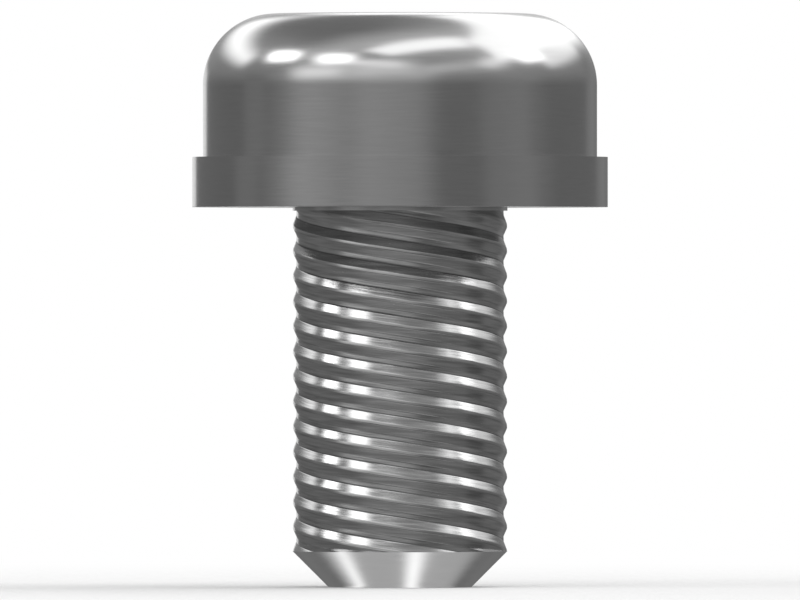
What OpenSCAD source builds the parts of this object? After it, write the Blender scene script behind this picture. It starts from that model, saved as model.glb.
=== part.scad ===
// Flanged machine screw with a rounded cylindrical head, a hex socket and a multi-start thread.
// It stands on the flat end of its tip, with the head on top.
// Lengths are in millimetres, and the origin is the centre of the tip's flat end.

/* [Head] */
// Diameter of the head's straight side
head_d = 5.5; // [4.6:0.1:7]
// Height of the head from the bearing face to its flat top, flange included
head_h = 2.7; // [2.4:0.1:4]
// Radius that rounds the edge between the head's side and its flat top
head_round_r = 1.0; // [0.2:0.05:1.1]

/* [Flange] */
// Diameter of the flange under the head
flange_d = 5.8; // [5:0.1:9]
// Thickness of the flange
flange_h = 0.7; // [0.3:0.05:1.1]

/* [Hex socket] */
// Width of the socket across its flats
socket_flats = 2.5; // [1.5:0.1:2.6]
// Depth of the socket's straight walls, from the head's flat top
socket_depth = 1.3; // [0.6:0.05:1.5]
// Height of the shallow cone that ends the socket
socket_cone_h = 0.35; // [0.1:0.05:0.6]
// Width of the bevel round the socket's mouth, outside its corners
socket_bevel = 0.1; // [0.05:0.01:0.12]

/* [Thread] */
// Outer diameter of the thread, over its crests
thread_d = 3.0; // [2.5:0.05:3.6]
// Length of the thread, from the bearing face to the bevel of the tip
thread_len = 4.8; // [2:0.1:8]
// Distance from one ridge to the next along the screw
thread_pitch = 0.35; // [0.3:0.01:0.5]
// Number of ridges that wind side by side
thread_starts = 4; // [1:1:5]
// Depth of the grooves, from the crests to the roots
thread_depth = 0.05; // [0.03:0.01:0.18]
// Height of the plain ring where the grooves run out under the head
land_h = 0.05; // [0.02:0.01:0.2]

/* [Tip] */
// Height of the bevel at the tip, and how far it goes in, at 45 degrees
tip_bevel = 0.5; // [0.2:0.05:0.9]

/* [Hidden] */

round_facets = 96;
head_r = head_d / 2;
flange_r = flange_d / 2;
thread_r = thread_d / 2;
tip_r = thread_r - tip_bevel;
head_flat_r = head_r - head_round_r;

// Heights above the tip's flat end
thread_low_z = tip_bevel;
bearing_z = thread_low_z + thread_len;
head_top_z = bearing_z + head_h;

// Hex socket: its corners lie outside its flats, and the bevel's cone is as deep as it is wide
hexagon_sides = 6;
socket_corner_r = socket_flats / 2 / cos(180 / hexagon_sides);
socket_mouth_r = socket_corner_r + socket_bevel;
socket_floor_z = head_top_z - socket_depth;
cut_past = 0.5;

// Thread form, in parts of the pitch: a flat crest, a flat root and two straight flanks between them
crest_part = 0.1;
root_part = 0.22;
flank_part = (1 - crest_part - root_part) / 2;
thread_lead = thread_pitch * thread_starts;

// The thread's cross-section has one lobe for each start, and each flank has a few short steps
flank_steps = 3;
lobe_angle = 360 / thread_starts;
turn_step = 9.5;
// The ridges end halfway up the plain ring
thread_blank_len = thread_len - land_h / 2;
thread_turn = 360 * thread_blank_len / thread_lead;
thread_slices = ceil(thread_turn / turn_step);
// The bevel's rim and the plain ring stand this far outside the crests
rim_proud = 0.005;
crest_r = thread_r - rim_proud;

// Places within one lobe, counted in pitches from the middle of its crest
lobe_places = concat(
    [for (i = [flank_steps : -1 : 0]) -crest_part / 2 - flank_part * i / flank_steps],
    [for (i = [0 : flank_steps]) crest_part / 2 + flank_part * i / flank_steps],
    [1 / 2]
);

// How deep the groove is at a place in the lobe: nothing on the crest and all of it at the root
function groove_depth(place) =
    let (down_flank = (abs(place) - crest_part / 2) / flank_part)
    thread_depth * min(1, max(0, down_flank));

function section_point(start, place) =
    let (radius = crest_r - groove_depth(place))
    let (angle = lobe_angle * (start + place))
    radius * [cos(angle), sin(angle)];

thread_section = [
    for (start = [0 : thread_starts - 1])
        for (place = lobe_places)
            section_point(start, place)
];

module tip() {
    cylinder(r1 = tip_r, r2 = thread_r, h = tip_bevel, $fn = round_facets);
}

module thread() {
    // A positive twist turns the ridges the left-hand way as they climb
    translate([0, 0, thread_low_z])
        linear_extrude(height = thread_blank_len, twist = thread_turn, slices = thread_slices)
            polygon(thread_section);
}

module land() {
    // Plain ring between the grooves and the bearing face
    translate([0, 0, bearing_z - land_h])
        cylinder(r = thread_r, h = land_h, $fn = round_facets);
}

module flange() {
    translate([0, 0, bearing_z])
        cylinder(r = flange_r, h = flange_h, $fn = round_facets);
}

module head_profile() {
    // Half of the head's outline: the bearing face lies on the X axis, and the Y axis is the screw's
    square([head_flat_r, head_h]);
    square([head_r, head_h - head_round_r]);
    translate([head_flat_r, head_h - head_round_r])
        intersection() {
            circle(r = head_round_r, $fn = round_facets);
            square(head_round_r);
        }
}

module head() {
    translate([0, 0, bearing_z])
        rotate_extrude($fn = round_facets) head_profile();
}

module hex_socket() {
    // Straight hexagonal walls
    translate([0, 0, socket_floor_z])
        cylinder(r = socket_corner_r, h = socket_depth + cut_past, $fn = hexagon_sides);
    // Shallow cone below them
    translate([0, 0, socket_floor_z - socket_cone_h])
        cylinder(r1 = 0, r2 = socket_flats / 2, h = socket_cone_h, $fn = round_facets);
    // Bevel at the mouth
    translate([0, 0, head_top_z - socket_mouth_r])
        cylinder(r1 = 0, r2 = socket_mouth_r + cut_past, h = socket_mouth_r + cut_past, $fn = round_facets);
}

module screw() {
    color("silver")
        difference() {
            union() {
                tip();
                thread();
                land();
                flange();
                head();
            }
            hex_socket();
        }
}

screw();
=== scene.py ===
"""Flanged machine screw: its steel body as one closed mesh, its finishes, and a plain pale studio."""

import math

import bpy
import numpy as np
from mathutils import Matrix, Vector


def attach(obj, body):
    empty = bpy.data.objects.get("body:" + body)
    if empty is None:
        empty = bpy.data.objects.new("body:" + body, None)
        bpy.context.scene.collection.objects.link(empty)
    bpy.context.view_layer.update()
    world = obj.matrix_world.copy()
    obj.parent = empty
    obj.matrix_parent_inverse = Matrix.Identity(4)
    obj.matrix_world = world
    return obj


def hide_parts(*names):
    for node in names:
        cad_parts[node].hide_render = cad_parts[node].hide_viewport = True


bl_info = {
    "name": "Flanged machine screw",
    "version": (1, 0, 0),
    "blender": (4, 5, 0),
    "location": "3D View > Sidebar > Screw",
    "description": "Builds a flanged screw with a four-start thread, and the studio it stands in",
    "category": "Add Mesh",
}

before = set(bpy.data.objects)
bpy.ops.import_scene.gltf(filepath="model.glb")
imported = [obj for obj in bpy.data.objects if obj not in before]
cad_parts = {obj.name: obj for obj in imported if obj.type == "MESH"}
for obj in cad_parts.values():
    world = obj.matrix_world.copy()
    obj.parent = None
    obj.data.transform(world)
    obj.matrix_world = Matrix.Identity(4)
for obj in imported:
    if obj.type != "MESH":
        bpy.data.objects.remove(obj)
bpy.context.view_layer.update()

MM = 0.001
FULL_TURN = 2 * math.pi
# Columns of faces round the screw, a multiple of the socket's six sides
COLUMNS = 192
# The crests stand this far inside the bevel's rim and the plain ring
CREST_BACK = 0.005 * MM
# Length given to the narrow steps at the thread's two ends, in the surface coordinates
STEP_RUN = 0.03
# Edges that turn by more than this stay crisp
CRISP_ANGLE = math.radians(30)
# Places of the materials in the mesh
FINISH_TURNED, FINISH_POLISHED, FINISH_ROLLED, FINISH_FORMED = range(4)


# Sizes and colours that a user would change

class ScrewSizes(bpy.types.PropertyGroup):
    """Lengths of the screw, in metres."""

    head_diameter: bpy.props.FloatProperty(
        name="Head diameter", description="Across the straight side of the head",
        default=5.5 * MM, min=4.6 * MM, max=7 * MM, precision=5, unit="LENGTH")
    head_height: bpy.props.FloatProperty(
        name="Head height", description="From the bearing face to the flat top, flange included",
        default=2.7 * MM, min=2.4 * MM, max=4 * MM, precision=5, unit="LENGTH")
    head_rounding: bpy.props.FloatProperty(
        name="Head rounding", description="Radius between the head's side and its flat top",
        default=1.0 * MM, min=0.2 * MM, max=1.1 * MM, precision=5, unit="LENGTH")
    flange_diameter: bpy.props.FloatProperty(
        name="Flange diameter", description="Across the flange under the head",
        default=5.8 * MM, min=5 * MM, max=9 * MM, precision=5, unit="LENGTH")
    flange_height: bpy.props.FloatProperty(
        name="Flange height", description="Thickness of the flange",
        default=0.7 * MM, min=0.3 * MM, max=1.1 * MM, precision=5, unit="LENGTH")
    socket_width: bpy.props.FloatProperty(
        name="Socket width", description="Across the flats of the hex socket",
        default=2.5 * MM, min=1.5 * MM, max=2.6 * MM, precision=5, unit="LENGTH")
    socket_depth: bpy.props.FloatProperty(
        name="Socket depth", description="Depth of the socket's straight walls",
        default=1.3 * MM, min=0.6 * MM, max=1.5 * MM, precision=5, unit="LENGTH")
    socket_cone: bpy.props.FloatProperty(
        name="Socket cone", description="Height of the shallow cone that ends the socket",
        default=0.35 * MM, min=0.1 * MM, max=0.6 * MM, precision=5, unit="LENGTH")
    socket_bevel: bpy.props.FloatProperty(
        name="Socket bevel", description="Width of the mouth's bevel outside the socket's corners",
        default=0.1 * MM, min=0.05 * MM, max=0.12 * MM, precision=5, unit="LENGTH")
    thread_diameter: bpy.props.FloatProperty(
        name="Thread diameter", description="Over the crests of the thread",
        default=3.0 * MM, min=2.5 * MM, max=3.6 * MM, precision=5, unit="LENGTH")
    thread_length: bpy.props.FloatProperty(
        name="Thread length", description="From the tip's bevel to the bearing face",
        default=4.8 * MM, min=2 * MM, max=8 * MM, precision=5, unit="LENGTH")
    thread_pitch: bpy.props.FloatProperty(
        name="Thread pitch", description="From one ridge to the next along the screw",
        default=0.35 * MM, min=0.3 * MM, max=0.5 * MM, precision=5, unit="LENGTH")
    thread_starts: bpy.props.IntProperty(
        name="Thread starts", description="Ridges that wind side by side",
        default=4, min=1, max=5)
    thread_depth: bpy.props.FloatProperty(
        name="Thread depth", description="From a crest down to a root",
        default=0.05 * MM, min=0.03 * MM, max=0.25 * MM, precision=5, unit="LENGTH")
    land_height: bpy.props.FloatProperty(
        name="Plain ring", description="Height of the plain ring where the grooves run out",
        default=0.05 * MM, min=0.02 * MM, max=0.2 * MM, precision=5, unit="LENGTH")
    tip_bevel: bpy.props.FloatProperty(
        name="Tip bevel", description="Height of the tip's bevel, at 45 degrees",
        default=0.5 * MM, min=0.2 * MM, max=0.9 * MM, precision=5, unit="LENGTH")
    edge_break: bpy.props.FloatProperty(
        name="Edge break", description="Small rounding of the flange's lower rim and of the tip",
        default=0.004 * MM, min=0.002 * MM, max=0.04 * MM, precision=6, unit="LENGTH")


class SteelFinishes(bpy.types.PropertyGroup):
    """Colour and gloss of the steel."""

    steel_colour: bpy.props.FloatVectorProperty(
        name="Steel", description="Colour of the bare steel",
        default=(0.42, 0.42, 0.42), min=0, max=1, size=3, subtype="COLOR")
    rolled_colour: bpy.props.FloatVectorProperty(
        name="Rolled steel", description="Colour of the thread's darker rolled skin",
        default=(0.36, 0.36, 0.36), min=0, max=1, size=3, subtype="COLOR")
    polished_roughness: bpy.props.FloatProperty(
        name="Polished", description="Roughness of the head's rounding and top",
        default=0.19, min=0, max=1, subtype="FACTOR")
    turned_roughness: bpy.props.FloatProperty(
        name="Turned", description="Roughness of the head's side, the flange and the bevel",
        default=0.18, min=0, max=1, subtype="FACTOR")
    rolled_roughness: bpy.props.FloatProperty(
        name="Rolled", description="Roughness of the thread",
        default=0.15, min=0, max=1, subtype="FACTOR")


class StudioSettings(bpy.types.PropertyGroup):
    """Floor, surroundings and camera."""

    floor_colour: bpy.props.FloatVectorProperty(
        name="Floor", description="Colour of the floor",
        default=(0.76, 0.76, 0.76), min=0, max=1, size=3, subtype="COLOR")
    floor_radius: bpy.props.FloatProperty(
        name="Floor radius", description="Radius of the round floor",
        default=60 * MM, min=20 * MM, max=400 * MM, precision=4, unit="LENGTH")
    soft_box_level: bpy.props.FloatProperty(
        name="Soft boxes", description="Brightness of the white soft boxes, which sets the others",
        default=2.4, min=0, max=10)
    camera_lens: bpy.props.FloatProperty(
        name="Lens", description="Focal length of the camera in millimetres",
        default=1000, min=50, max=1200)


# Shapes

def spaced(low, high, count):
    return [low + (high - low) * i / count for i in range(count + 1)]


def arc(centre_r, centre_z, radius, from_angle, to_angle, steps):
    """Points (r, z) of an arc; the angles are in degrees from the outward direction."""
    return [
        (centre_r + radius * math.cos(math.radians(a)), centre_z + radius * math.sin(math.radians(a)))
        for a in spaced(from_angle, to_angle, steps)
    ]


class SolidMesh:
    """Collects the points, faces, finishes and surface coordinates of one closed body."""

    def __init__(self):
        self.points = []
        self.faces = []
        self.finish = []
        self.surface = []
        self.ridge = []

    def ring(self, radii, heights):
        """One point for each column; radii and heights are single numbers, or lists with one for each."""
        first = len(self.points)
        for i in range(COLUMNS):
            angle = FULL_TURN * i / COLUMNS
            radius = radii[i] if isinstance(radii, list) else radii
            height = heights[i] if isinstance(heights, list) else heights
            self.points.append((radius * math.cos(angle), radius * math.sin(angle), height))
        return list(range(first, first + COLUMNS))

    def face(self, corners, finish, surface, ridge=None):
        """One face. Corners that fall together count once; ridge holds each corner's place on its ridge."""
        kept, where, on_ridge = [], [], []
        for corner, place, across in zip(corners, surface, ridge or [(0, 0)] * len(corners)):
            if corner not in kept:
                kept.append(corner)
                where.append(place)
                on_ridge.append(across)
        if len(kept) > 2:
            self.faces.append(kept)
            self.finish.append(finish)
            self.surface.append(where)
            self.ridge.append(on_ridge)

    def band(self, low, high, finish, at_low, at_high):
        """Faces between two rings; at_low and at_high are how far along the outline the rings lie."""
        for i in range(COLUMNS):
            j = (i + 1) % COLUMNS
            u, v = i / COLUMNS, (i + 1) / COLUMNS
            self.face(
                [low[i], low[j], high[j], high[i]], finish,
                [(u, at_low), (v, at_low), (v, at_high), (u, at_high)])

    def cap(self, ring, height, finish, at_ring, downward):
        """A fan of faces from a ring to its middle."""
        centre = len(self.points)
        self.points.append((0, 0, height))
        for i in range(COLUMNS):
            j = (i + 1) % COLUMNS
            u = i / COLUMNS
            corners = [ring[j], ring[i], centre] if downward else [ring[i], ring[j], centre]
            self.face(corners, finish, [(u, at_ring), (u, at_ring), (u, at_ring + 1)])

    def outline(self, first_ring, places, finishes, start=0.0):
        """Revolves (r, z) places upward from a ring that is already there."""
        ring, run, last = first_ring, start, places[0]
        for place, finish in zip(places[1:], finishes[1:]):
            step = math.dist(place, last) / MM
            new = self.ring(*place)
            self.band(ring, new, finish, run, run + step)
            ring, run, last = new, run + step, place
        return ring, run


# The thread's form across one pitch, from a crest to the next: places in parts of the pitch, and how much
# of the whole depth is reached there. A fine seam runs where the flank that faces the head meets the root.
FORM_PLACES = (-0.08, 0.04, 0.365, 0.60)
FORM_DEPTHS = (0.00, 0.07, 0.93, 1.00)
FORM_EASE = 0.02
SEAM_PLACE, SEAM_WIDTH, SEAM_DEPTH = 0.376, 0.024, 0.003 * MM

# Rows of faces across one pitch, closer together where the form turns
ROW_PLACES = (
    0.0, 0.020, 0.035, 0.050, 0.068, 0.11, 0.20, 0.29, 0.335, 0.352, 0.364, 0.376, 0.388, 0.400, 0.43,
    0.52, 0.575, 0.59, 0.605, 0.625, 0.68, 0.78, 0.87, 0.905, 0.92, 0.935, 0.96)


def groove_depth(place, sizes):
    """Depth at a place across the pitch, with the form's corners a little eased."""
    near = [place + FORM_EASE * part for part in (-1, -0.5, 0, 0.5, 1)]
    depth = sizes.thread_depth * float(np.mean(np.interp(near, FORM_PLACES, FORM_DEPTHS, period=1)))
    from_seam = abs(place % 1 - SEAM_PLACE)
    return depth + SEAM_DEPTH * max(0.0, 1 - from_seam / SEAM_WIDTH)


def add_thread(mesh, low_ring, low_z, high_z, sizes):
    """Rows of faces follow the ridges down to the right, so that every ridge runs smooth.
    Returns the top ring."""
    per_pitch = len(ROW_PLACES)
    row_depths = [groove_depth(place, sizes) for place in ROW_PLACES]
    pitch, starts = sizes.thread_pitch, sizes.thread_starts
    lead = pitch * starts
    crest_r = sizes.thread_diameter / 2 - CREST_BACK
    rows = per_pitch * (int(math.ceil((high_z - low_z) / pitch)) + starts)
    close = 1e-8

    def row_place(row):
        return row // per_pitch + ROW_PLACES[row % per_pitch]

    def height(column, row):
        return low_z + pitch * row_place(row) - lead * column / COLUMNS

    def end_ring(z):
        across = [starts * i / COLUMNS + (z - low_z) / pitch for i in range(COLUMNS)]
        return mesh.ring([crest_r - groove_depth(place, sizes) for place in across], z)

    # The grooves end square against the bevel's rim and the plain ring
    foot_ring, head_ring = end_ring(low_z), end_ring(high_z)
    mesh.band(low_ring, foot_ring, FINISH_TURNED, 0, STEP_RUN)
    point_of = {}

    def point(column, row):
        if column == COLUMNS:
            column, row = 0, row - per_pitch * starts
        z = height(column, row)
        if z <= low_z + close:
            return foot_ring[column]
        if z >= high_z - close:
            return head_ring[column]
        key = (column, row)
        if key not in point_of:
            angle = FULL_TURN * column / COLUMNS
            radius = crest_r - row_depths[row % per_pitch]
            point_of[key] = len(mesh.points)
            mesh.points.append((radius * math.cos(angle), radius * math.sin(angle), z))
        return point_of[key]

    middle_r = crest_r - sizes.thread_depth / 2

    def surface(column, row, ridge):
        z = min(high_z, max(low_z, height(column, row)))
        across = starts * column / COLUMNS + (z - low_z) / pitch - ridge
        along = -FULL_TURN * (z - low_z) / lead * middle_r / MM
        return (along, across * pitch / MM + 2.0 * (ridge % starts)), (ridge % starts, across)

    for column in range(COLUMNS):
        for row in range(rows):
            ridge = round((row_place(row) + row_place(row + 1)) / 2)
            corners = [(column, row), (column + 1, row), (column + 1, row + 1), (column, row + 1)]
            places_on = [surface(c, r, ridge) for c, r in corners]
            mesh.face(
                [point(*c) for c in corners], FINISH_ROLLED,
                [p[0] for p in places_on], [p[1] for p in places_on])
    return head_ring


def screw_body(sizes):
    """The whole screw from the tip's flat end up to the head and down into its socket."""
    mesh = SolidMesh()
    edge = sizes.edge_break
    thread_r = sizes.thread_diameter / 2
    tip_r = thread_r - sizes.tip_bevel
    low_z = sizes.tip_bevel
    bearing_z = low_z + sizes.thread_length
    land_z = bearing_z - sizes.land_height
    head_r, flange_r = sizes.head_diameter / 2, sizes.flange_diameter / 2
    flange_top = bearing_z + sizes.flange_height
    top_z = bearing_z + sizes.head_height
    flat_r = head_r - sizes.head_rounding
    side_top = top_z - sizes.head_rounding

    # Tip: flat end, small rounding, bevel
    first = mesh.ring(tip_r * 0.5, 0)
    mesh.cap(first, 0, FINISH_TURNED, 0, downward=True)
    tip_outline = [(tip_r * 0.5, 0), (tip_r - 3 * edge, 0)]
    # The arc begins this far inside the corner, so that it runs smoothly into the 45 degree bevel
    set_back = edge * 0.41
    tip_outline += arc(tip_r - set_back, edge, edge, -90, -45, 4)
    (foot_r, foot_z), rim_r, rim_z = tip_outline[-1], thread_r, low_z
    tip_outline += [
        (foot_r + (rim_r - foot_r) * part, foot_z + (rim_z - foot_z) * part)
        for part in (0.06, 0.15, 0.5, 0.85, 0.94)
    ]
    tip_outline.append((rim_r, rim_z))
    low_ring, run = mesh.outline(first, tip_outline, [FINISH_TURNED] * len(tip_outline))

    # Thread and the plain ring above it
    head_ring = add_thread(mesh, low_ring, low_z, land_z, sizes)
    high_ring = mesh.ring(thread_r, land_z)
    mesh.band(head_ring, high_ring, FINISH_TURNED, run, run + STEP_RUN)
    land_outline = [(thread_r, z) for z in (land_z, land_z + sizes.land_height * 0.5, bearing_z)]
    neck_ring, run = mesh.outline(high_ring, land_outline, [FINISH_TURNED] * len(land_outline), run)

    # Bearing face and flange
    bearing_radii = (
        thread_r, thread_r + 0.04 * MM, thread_r + 0.5 * MM, flange_r - 4 * edge, flange_r - 2 * edge)
    turned = [(radius, bearing_z) for radius in bearing_radii]
    turned += arc(flange_r - edge, bearing_z + edge, edge, -90, 0, 5)
    turned += [(flange_r, z) for z in (bearing_z + 3 * edge, flange_top - 3 * edge, flange_top)]
    turned += [(radius, flange_top) for radius in (flange_r - 2 * edge, head_r + 2 * edge, head_r)]

    # Head: straight side, rounding and flat top. Narrow bands keep the shading beside an edge clean
    margin, rim = 0.02 * MM, 0.015 * MM
    turned += [(head_r, z) for z in spaced(flange_top + 3 * edge, side_top - margin, 6)]
    rounding = arc(flat_r, side_top, sizes.head_rounding, 0, 90, 40)
    socket_corner_r = sizes.socket_width / 2 / math.cos(math.pi / 6)
    mouth_r = socket_corner_r + sizes.socket_bevel
    top_radii = (flat_r - margin, mouth_r + 3 * margin, mouth_r + rim)
    polished = rounding + [(radius, top_z) for radius in top_radii]
    finishes = [FINISH_TURNED] * len(turned) + [FINISH_POLISHED] * len(polished)
    ring, run = mesh.outline(neck_ring, turned + polished, finishes, run)

    # Socket: bevel from the round mouth to the hexagon, walls, floor and cone
    hexagon = [
        sizes.socket_width / 2 / math.cos(((FULL_TURN * i / COLUMNS) % (math.pi / 3)) - math.pi / 6)
        for i in range(COLUMNS)
    ]
    floor_z = top_z - sizes.socket_depth
    mouth = mesh.ring(mouth_r, top_z)
    mesh.band(ring, mouth, FINISH_POLISHED, run, run + 0.015)
    bevel_z = [top_z - (mouth_r - r) for r in hexagon]
    # The floor's corners are flat, and the cone starts on the circle that touches the flats
    cone_r = sizes.socket_width / 2
    cone_top = [min(r * 0.999, cone_r * 0.998) for r in hexagon]
    # Radii and heights of each ring, and its way from the ring before in the surface coordinates
    inner_rings = [(mouth_r - rim, top_z - rim, 0.02), (hexagon, bevel_z, 0.13)]
    inner_rings += [
        (hexagon, [z + (floor_z - z) * part for z in bevel_z], 0.2)
        for part in (0.02, 0.1, 0.5, 0.9, 0.97, 1.0)
    ]
    inner_rings += [
        (cone_top, floor_z, 0.1),
        (cone_r * 0.5, floor_z - sizes.socket_cone * 0.5, 0.6),
        (cone_r * 0.05, floor_z - sizes.socket_cone * 0.95, 0.6),
    ]
    last = mouth
    for radii, heights, step in inner_rings:
        new = mesh.ring(radii, heights)
        mesh.band(last, new, FINISH_FORMED, run, run + step)
        last, run = new, run + step
    mesh.cap(last, floor_z - sizes.socket_cone * 0.97, FINISH_FORMED, run, downward=False)
    return mesh


def mark_sharp_edges(data, angle):
    """Edges that turn by more than the angle stay crisp, and the rest are shaded smooth."""
    normals = np.zeros(len(data.polygons) * 3)
    data.polygons.foreach_get("normal", normals)
    normals = normals.reshape(-1, 3)
    faces_at = {}
    for polygon in data.polygons:
        for key in polygon.edge_keys:
            faces_at.setdefault(key, []).append(polygon.index)
    limit = math.cos(angle)

    def is_sharp(beside):
        return len(beside) != 2 or float(normals[beside[0]] @ normals[beside[1]]) < limit

    sharp = [is_sharp(faces_at[edge.key]) for edge in data.edges]
    attribute = data.attributes.get("sharp_edge") or data.attributes.new("sharp_edge", "BOOLEAN", "EDGE")
    attribute.data.foreach_set("value", sharp)


# Finishes

# Depth of the fine relief in the materials
TURNED_RING_DEPTH, POLISHED_RING_DEPTH, FORMED_RING_DEPTH = 0.0002 * MM, 0.0001 * MM, 0.0003 * MM
STREAK_DEPTH = 0.0016 * MM
# How close the noise is: rings for each millimetre, blotches and specks for each metre
RING_SCALE, BLOTCH_SCALE, SPECK_SCALE = 38.0, 900.0, 26000.0
# Along and across a ridge, for each millimetre
STREAK_SCALES, PATCH_SCALES = (1.1, 26.0, 1.0), (2.4, 9.0, 1.0)
# Half width of the painted shade in the seam's crease, dark and fading, in parts of the pitch, and its tone
SEAM_SHADE_DARK, SEAM_SHADE_END, SEAM_SHADE_TONE = 0.010, 0.026, 0.45


def node(tree, kind, values=None, **settings):
    """A new node. Each value is a link from another node's output, or is set on the socket."""
    made = tree.nodes.new(kind)
    for name, value in settings.items():
        setattr(made, name, value)
    for name, value in (values or {}).items():
        if isinstance(value, bpy.types.NodeSocket):
            tree.links.new(value, made.inputs[name])
        else:
            made.inputs[name].default_value = value
    return made


def math_node(tree, operation, *values):
    return node(tree, "ShaderNodeMath", dict(enumerate(values)), operation=operation).outputs[0]


def vector_node(tree, operation, *values):
    made = node(tree, "ShaderNodeVectorMath", dict(enumerate(values)), operation=operation)
    return made.outputs["Value" if operation in ("LENGTH", "DOT_PRODUCT") else "Vector"]


def mixed_number(tree, factor, at_zero, at_one):
    values = {0: factor, 2: at_zero, 3: at_one}
    return node(tree, "ShaderNodeMix", values, data_type="FLOAT").outputs[0]


def noise(tree, vector, scale, detail, roughness):
    made = node(
        tree, "ShaderNodeTexNoise",
        {"Vector": vector, "Scale": scale, "Detail": detail, "Roughness": roughness})
    return made.outputs["Fac"]


def remap(tree, value, low, high, to_low, to_high, smooth=False):
    made = node(
        tree, "ShaderNodeMapRange",
        {"Value": value, "From Min": low, "From Max": high, "To Min": to_low, "To Max": to_high},
        interpolation_type="SMOOTHSTEP" if smooth else "LINEAR")
    return made.outputs["Result"]


def scaled_colour(tree, colour, factor):
    """A colour made lighter or darker by a grey factor from the nodes."""
    made = node(tree, "ShaderNodeMix", data_type="RGBA", blend_type="MULTIPLY")
    made.inputs["Factor"].default_value = 1
    made.inputs["A"].default_value = (*colour, 1)
    tree.links.new(factor, made.inputs["B"])
    return made.outputs["Result"]


def steel_base(name, colour, roughness):
    material = bpy.data.materials.new(name)
    material.use_nodes = True
    tree = material.node_tree
    shader = tree.nodes["Principled BSDF"]
    shader.inputs["Metallic"].default_value = 1
    shader.inputs["Base Color"].default_value = (*colour, 1)
    shader.inputs["Roughness"].default_value = roughness
    material.diffuse_color = (*colour, 1)
    material.metallic = 1
    material.roughness = roughness
    return material, tree, shader


def add_relief(tree, shader, height, depth):
    bump = node(tree, "ShaderNodeBump", {"Strength": 1.0, "Distance": depth, "Height": height})
    tree.links.new(bump.outputs["Normal"], shader.inputs["Normal"])


def turned_steel(name, colour, roughness, ring_depth):
    """Steel from the lathe: faint rings round the axis, and gloss that varies a little."""
    material, tree, shader = steel_base(name, colour, roughness)
    position = node(tree, "ShaderNodeTexCoord").outputs["Object"]
    parts = node(tree, "ShaderNodeSeparateXYZ", {"Vector": position})
    flat = node(tree, "ShaderNodeCombineXYZ", {"X": parts.outputs["X"], "Y": parts.outputs["Y"]})
    radius = vector_node(tree, "LENGTH", flat.outputs[0])
    # Outline coordinate: it grows up the sides, inwards over the faces, and slowly along 45 degree bevels
    along = math_node(tree, "MULTIPLY_ADD", radius, -0.6, parts.outputs["Z"])
    around = node(tree, "ShaderNodeCombineXYZ", {"Z": math_node(tree, "MULTIPLY", along, 1 / MM)})
    # A little of the place across the screw lets the rings fade in and out on their way round
    small = vector_node(tree, "MULTIPLY", position, (60.0, 60.0, 0.0))
    rings = noise(tree, vector_node(tree, "ADD", around.outputs[0], small), RING_SCALE, 3.0, 0.6)
    blotches = noise(tree, position, BLOTCH_SCALE, 3.0, 0.5)
    gloss = math_node(
        tree, "ADD", remap(tree, blotches, 0.3, 0.7, roughness * 0.85, roughness * 1.15),
        remap(tree, rings, 0.35, 0.65, -0.012, 0.012))
    tree.links.new(gloss, shader.inputs["Roughness"])
    tone = remap(tree, rings, 0.3, 0.7, 0.975, 1.015)
    tree.links.new(scaled_colour(tree, colour, tone), shader.inputs["Base Color"])
    add_relief(tree, shader, rings, ring_depth)
    return material


def rolled_steel(name, colour, roughness):
    """Steel from the thread rollers: streaks along the ridges and a few small specks."""
    material, tree, shader = steel_base(name, colour, roughness)
    # Surface coordinates in millimetres: along the ridge, then across it
    surface = node(tree, "ShaderNodeUVMap", uv_map="surface").outputs["UV"]
    streaks = noise(tree, vector_node(tree, "MULTIPLY", surface, STREAK_SCALES), 1.0, 4.0, 0.6)
    patches = noise(tree, vector_node(tree, "MULTIPLY", surface, PATCH_SCALES), 1.0, 3.0, 0.55)
    position = node(tree, "ShaderNodeTexCoord").outputs["Object"]
    specks = noise(tree, position, SPECK_SCALE, 2.0, 0.7)
    gloss = math_node(
        tree, "ADD", remap(tree, patches, 0.3, 0.7, roughness * 0.7, roughness * 1.5),
        remap(tree, specks, 0.62, 0.75, 0.0, 0.08))
    tree.links.new(gloss, shader.inputs["Roughness"])
    tone = math_node(
        tree, "MULTIPLY", remap(tree, streaks, 0.3, 0.7, 0.86, 1.10),
        remap(tree, patches, 0.3, 0.7, 0.80, 1.16))
    # Painted shade: the base colour is darkened along the seam's crease at the root
    on_ridge = node(tree, "ShaderNodeUVMap", uv_map="ridge").outputs["UV"]
    across = node(tree, "ShaderNodeSeparateXYZ", {"Vector": on_ridge}).outputs["Y"]
    from_seam = math_node(tree, "ABSOLUTE", math_node(tree, "SUBTRACT", across, SEAM_PLACE))
    seam_shade = remap(tree, from_seam, SEAM_SHADE_DARK, SEAM_SHADE_END, SEAM_SHADE_TONE, 1.0, smooth=True)
    tone = math_node(tree, "MULTIPLY", tone, seam_shade)
    tree.links.new(scaled_colour(tree, colour, tone), shader.inputs["Base Color"])
    height = math_node(tree, "ADD", streaks, math_node(tree, "MULTIPLY", specks, 0.15))
    add_relief(tree, shader, height, STREAK_DEPTH)
    return material


def screw_materials(finishes):
    """The four finishes, in the order of their FINISH numbers."""
    colour = finishes.steel_colour
    # The pressed socket is duller than the turned steel
    formed_roughness = finishes.turned_roughness * 1.6
    return [
        turned_steel("turned_steel", colour, finishes.turned_roughness, TURNED_RING_DEPTH),
        turned_steel("polished_steel", colour, finishes.polished_roughness, POLISHED_RING_DEPTH),
        rolled_steel("rolled_steel", finishes.rolled_colour, finishes.rolled_roughness),
        turned_steel("formed_steel", colour, formed_roughness, FORMED_RING_DEPTH),
    ]


# Studio

def direction(azimuth, elevation):
    """Azimuth 0 points at the camera and 90 to the right; elevation is above the floor, in degrees."""
    a, e = math.radians(azimuth), math.radians(elevation)
    return Vector((math.sin(a) * math.cos(e), -math.cos(a) * math.cos(e), math.sin(e)))


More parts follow.
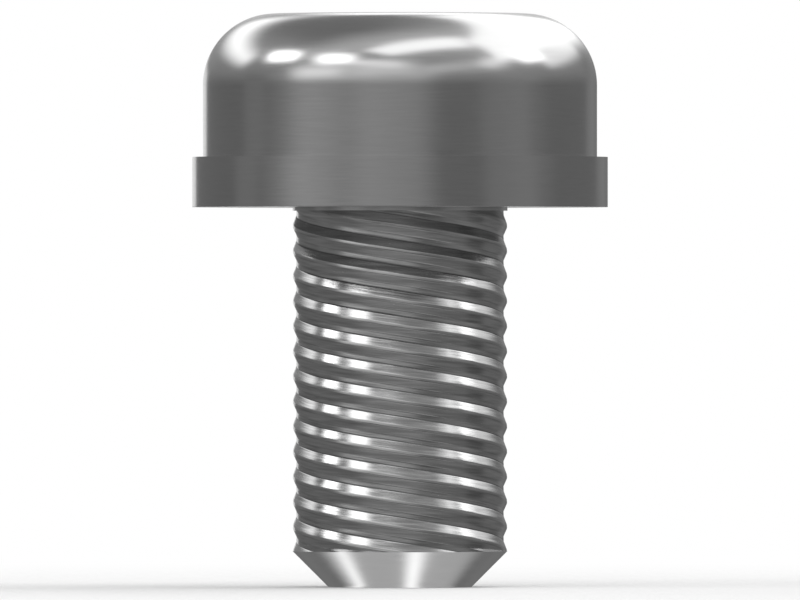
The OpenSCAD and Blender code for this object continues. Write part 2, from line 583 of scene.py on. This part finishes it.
def add_soft_box(tree, ray, below, aim, centre, half_size, level, soft, turn=0.0):
    """Lays one soft-edged rectangle over the surroundings.
    It hangs on a wall that faces the aim, one unit away; centre and half_size are measured on that wall.
    The turn is in degrees, and below is what the rectangle covers."""
    facing = direction(*aim)
    azimuth = math.radians(aim[0])
    across = Vector((math.cos(azimuth), math.sin(azimuth), 0))
    upward = facing.cross(across)
    turn = math.radians(turn)
    right = across * math.cos(turn) + upward * math.sin(turn)
    up = upward * math.cos(turn) - across * math.sin(turn)

    # Only rays that go towards the wall can meet it
    ahead = math_node(tree, "MAXIMUM", vector_node(tree, "DOT_PRODUCT", ray, facing), 0.001)
    mask = math_node(tree, "GREATER_THAN", ahead, 0.05)
    offset_x = centre[0] * math.cos(turn) + centre[1] * math.sin(turn)
    offset_y = centre[1] * math.cos(turn) - centre[0] * math.sin(turn)
    for axis, offset, half in ((right, offset_x, half_size[0]), (up, offset_y, half_size[1])):
        on_wall = math_node(tree, "DIVIDE", vector_node(tree, "DOT_PRODUCT", ray, axis), ahead)
        away = math_node(tree, "ABSOLUTE", math_node(tree, "SUBTRACT", on_wall, offset))
        inside = remap(tree, away, half - soft / 2, half + soft / 2, 1, 0, smooth=True)
        mask = math_node(tree, "MULTIPLY", mask, inside)
    return mixed_number(tree, mask, below, level)


def straight_rays(tree):
    """The outputs of the light path node, and a mask of the rays that come straight from the camera
    or through glass."""
    path = node(tree, "ShaderNodeLightPath").outputs
    return path, math_node(tree, "MAXIMUM", path["Is Camera Ray"], path["Is Transmission Ray"])


def make_surroundings(settings):
    """Walls and soft boxes of a pale studio, as the steel mirrors them. The camera sees plain white."""
    world = bpy.data.worlds.new("studio")
    bpy.context.scene.world = world
    world.use_nodes = True
    tree = world.node_tree
    background = tree.nodes["Background"]
    ray = node(tree, "ShaderNodeTexCoord").outputs["Generated"]
    rise = node(tree, "ShaderNodeSeparateXYZ", {"Vector": ray}).outputs["Z"]
    # Levels of the soft boxes, from the lamps down to the dark patches
    white = settings.soft_box_level
    lamp, bright, pale, dim, dark = (white * part for part in (1.75, 0.7, 0.4, 0.23, 0.125))
    # Walls that grow lighter upward, a pale ceiling and a dim ground
    walls = remap(tree, rise, -0.05, 0.2, 0.20, 0.38, smooth=True)
    ceiling = remap(tree, rise, 0.3, 1.0, 0.0, 0.275, smooth=True)
    ground = remap(tree, rise, -0.45, -0.15, 0.09, 0.0, smooth=True)
    level = math_node(tree, "ADD", math_node(tree, "ADD", walls, ceiling), ground)
    boxes = [
        # aim, centre, half size, level, softness, turn
        # Overhead: a dark patch on the left and a pale band across
        ((-110, 70), (0, 0), (1.15, 0.40), dark, 0.60, 15),
        ((10, 75), (0, 0), (1.25, 0.20), pale, 0.80, 10),
        # Low on the walls: dim patches in front, and dark ones that shade the head's straight side
        ((-55, 5), (0, 0), (0.35, 0.20), dim, 0.75, -25),
        ((-5, 10), (0, 0), (0.40, 0.20), dim, 0.40, 5),
        ((-95, 0), (0, 0), (0.15, 0.20), dark, 0.10, 0),
        ((65, 0), (0, 0), (0.30, 0.25), dark, 0.20, 0),
        ((150, 0), (0, 0), (0.15, 0.25), dark, 0.15, 0),
        # Higher up: the pale bands that the head's rounding mirrors
        ((43, 27), (0, 0), (0.50, 0.12), pale, 0.20, 5),
        ((-50, 17), (0, 0), (0.30, 0.15), bright, 0.30, 5),
        ((-10, 15), (0, 0), (0.55, 0.10), pale, 0.45, 5),
        ((65, 15), (0, 0), (0.45, 0.05), dim, 0.70, -20),
        ((-10, 25), (0, 0), (0.35, 0.15), bright * 0.7, 0.30, 15),
        ((125, 25), (0, 0), (0.40, 0.12), bright, 0.15, 0),
        ((60, 30), (0, 0), (0.10, 0.12), bright, 0.15, -40),
        # Large windows on the right and the left, and one overhead
        ((115, 0), (0.35, 1.35), (1.40, 0.80), white, 0.30, -12),
        ((0, 90), (0.15, -0.50), (0.50, 0.20), white, 0.20, 40),
        ((-140, 27), (0, 0), (0.55, 0.12), white, 0.25, 0),
        # Lamps: bright spots on the head's rounding and along the ridges
        ((-85, 35), (0, 0), (0.15, 0.10), lamp * 1.5, 0.15, 20),
        ((-15, 33), (0, 0), (0.25, 0.08), white * 0.75, 0.20, -5),
        ((-45, 38), (0, 0), (0.17, 0.12), lamp, 0.20, 10),
        ((95, 32), (0, 0), (0.16, 0.10), lamp, 0.15, 0),
        # Behind: a grey wall and a strip above it, for the head's upper edge
        ((180, 9), (0, 0), (0.10, 0.13), bright * 0.4, 0.08, 0),
        ((179, 25), (0, 0), (0.075, 0.115), white * 0.9, 0.06, 0),
        # Below: a dark patch on the right, two pale ones in front, and a pale panel with two bright strips
        ((94, -32), (0, 0), (0.20, 0.11), dark * 0.6, 0.16, 0),
        ((-20, -48), (0, 0), (0.55, 0.40), dim * 0.75, 0.50, 0),
        ((0, -35), (0, 0), (1.40, 0.10), pale * 0.75, 0.10, 0),
        ((0, -90), (0, -0.35), (0.70, 0.60), pale * 0.85, 0.15, 0),
        ((0, -90), (0.15, -0.25), (0.07, 0.50), white * 1.2, 0.18, 0),
        ((0, -90), (-0.54, -0.45), (0.05, 0.55), white * 1.2, 0.16, 0),
    ]
    for box in boxes:
        level = add_soft_box(tree, ray, level, *box)
    # The camera sees plain white all round, and the steel sees it where the backdrop stands
    backdrop = add_soft_box(tree, ray, 0.0, (-170.5, 0.5), (0, 0), (0.24, 0.07), 1.0, 0.04)
    path, straight = straight_rays(tree)
    in_steel = math_node(tree, "MULTIPLY", path["Is Glossy Ray"], backdrop)
    seen_plain = math_node(tree, "MAXIMUM", straight, in_steel)
    background.inputs["Color"].default_value = (1, 1, 1, 1)
    tree.links.new(mixed_number(tree, seen_plain, level, 1), background.inputs["Strength"])


def make_floor(settings):
    """A round pale floor that passes into the white background further out."""
    # Columns of faces, and the radii of their rings in parts of the floor's
    columns, rings = 96, (0.04, 0.12, 0.3, 0.6, 1.0)
    points, faces = [(0, 0, 0)], []
    for part in rings:
        radius = settings.floor_radius * part
        points += [
            (radius * math.cos(FULL_TURN * i / columns), radius * math.sin(FULL_TURN * i / columns), 0)
            for i in range(columns)
        ]
    for i in range(columns):
        j = (i + 1) % columns
        faces.append((0, 1 + i, 1 + j))
        for ring in range(len(rings) - 1):
            low, high = 1 + ring * columns, 1 + (ring + 1) * columns
            faces.append((low + i, high + i, high + j, low + j))
    data = bpy.data.meshes.new("floor")
    data.from_pydata(points, [], faces)
    data.update()
    floor = bpy.data.objects.new("floor", data)
    bpy.context.collection.objects.link(floor)
    material = bpy.data.materials.new("pale_floor")
    material.use_nodes = True
    tree = material.node_tree
    shader = tree.nodes["Principled BSDF"]
    shader.inputs["Base Color"].default_value = (*settings.floor_colour, 1)
    shader.inputs["Roughness"].default_value = 0.9
    shader.inputs["Specular IOR Level"].default_value = 0.0
    place = node(tree, "ShaderNodeTexCoord").outputs["Object"]
    away = vector_node(tree, "LENGTH", place)
    fade_start, fade_end = settings.floor_radius * 0.12, settings.floor_radius * 0.5
    fade = remap(tree, away, fade_start, fade_end, 0, 1, smooth=True)
    path, straight = straight_rays(tree)
    seen_plain = math_node(tree, "MAXIMUM", straight, path["Is Glossy Ray"])
    white = node(tree, "ShaderNodeEmission", {"Color": (1, 1, 1, 1), "Strength": 1.0})
    mixed = node(tree, "ShaderNodeMixShader", {0: math_node(tree, "MULTIPLY", fade, seen_plain)})
    tree.links.new(shader.outputs[0], mixed.inputs[1])
    tree.links.new(white.outputs[0], mixed.inputs[2])
    tree.links.new(mixed.outputs[0], tree.nodes["Material Output"].inputs["Surface"])
    data.materials.append(material)
    # The steel mirrors the studio below it, as in the photograph, which shows no floor
    floor.visible_glossy = False
    floor.visible_shadow = False


def make_camera(settings):
    """Level with the screw and far off, as the photograph's flat view is."""
    data = bpy.data.cameras.new("camera")
    data.lens = settings.camera_lens
    data.sensor_width = 36
    data.sensor_fit = "HORIZONTAL"
    data.clip_start, data.clip_end = 0.01, 5
    camera = bpy.data.objects.new("camera", data)
    bpy.context.collection.objects.link(camera)
    # Width of the view at the screw, and the height it looks at
    frame_width, middle_z = 11.164 * MM, 4.004 * MM
    distance = frame_width * data.lens / data.sensor_width
    camera.location = (0, -distance, middle_z)
    camera.rotation_euler = (math.radians(90), 0, 0)
    bpy.context.scene.camera = camera


# Operators

class SCREW_OT_make_screw(bpy.types.Operator):
    """Build the screw's body with its finishes"""

    bl_idname = "screw.make_screw"
    bl_label = "Make screw"
    bl_options = {"REGISTER", "UNDO"}

    def execute(self, context):
        scene = context.scene
        body = screw_body(scene.screw_sizes)
        data = bpy.data.meshes.new("steel_screw")
        data.from_pydata(body.points, [], body.faces)
        data.polygons.foreach_set("material_index", body.finish)
        for name, places in (("surface", body.surface), ("ridge", body.ridge)):
            layer = data.uv_layers.new(name=name)
            layer.data.foreach_set("uv", [value for face in places for place in face for value in place])
        for material in screw_materials(scene.screw_finishes):
            data.materials.append(material)
        data.update()
        if data.validate(verbose=False):
            raise RuntimeError("the screw's mesh had faults that had to be mended")
        data.polygons.foreach_set("use_smooth", [True] * len(data.polygons))
        mark_sharp_edges(data, CRISP_ANGLE)
        piece = bpy.data.objects.new("steel_screw", data)
        context.collection.objects.link(piece)
        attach(piece, "root")
        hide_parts("screw")
        return {"FINISHED"}


class SCREW_OT_make_studio(bpy.types.Operator):
    """Build the floor, the surroundings and the camera"""

    bl_idname = "screw.make_studio"
    bl_label = "Make studio"
    bl_options = {"REGISTER", "UNDO"}

    def execute(self, context):
        settings = context.scene.screw_studio
        context.scene.view_settings.view_transform = "Standard"
        make_surroundings(settings)
        make_floor(settings)
        make_camera(settings)
        return {"FINISHED"}


class SCREW_PT_panel(bpy.types.Panel):
    """Sizes, finishes and buttons for the screw and its studio"""

    bl_idname = "SCREW_PT_panel"
    bl_label = "Screw"
    bl_space_type = "VIEW_3D"
    bl_region_type = "UI"
    bl_category = "Screw"

    def draw(self, context):
        groups = (
            (context.scene.screw_sizes, SCREW_OT_make_screw.bl_idname),
            (context.scene.screw_finishes, None),
            (context.scene.screw_studio, SCREW_OT_make_studio.bl_idname),
        )
        for group, operator in groups:
            column = self.layout.box().column()
            for name in group.__class__.__annotations__:
                column.prop(group, name)
            if operator:
                column.operator(operator)


CLASSES = (
    ScrewSizes, SteelFinishes, StudioSettings,
    SCREW_OT_make_screw, SCREW_OT_make_studio, SCREW_PT_panel,
)


def register():
    for item in CLASSES:
        bpy.utils.register_class(item)
    bpy.types.Scene.screw_sizes = bpy.props.PointerProperty(type=ScrewSizes)
    bpy.types.Scene.screw_finishes = bpy.props.PointerProperty(type=SteelFinishes)
    bpy.types.Scene.screw_studio = bpy.props.PointerProperty(type=StudioSettings)


def unregister():
    del bpy.types.Scene.screw_studio
    del bpy.types.Scene.screw_finishes
    del bpy.types.Scene.screw_sizes
    for item in reversed(CLASSES):
        bpy.utils.unregister_class(item)


def main():
    register()
    bpy.ops.screw.make_screw()
    bpy.ops.screw.make_studio()


if __name__ == "__main__":
    main()
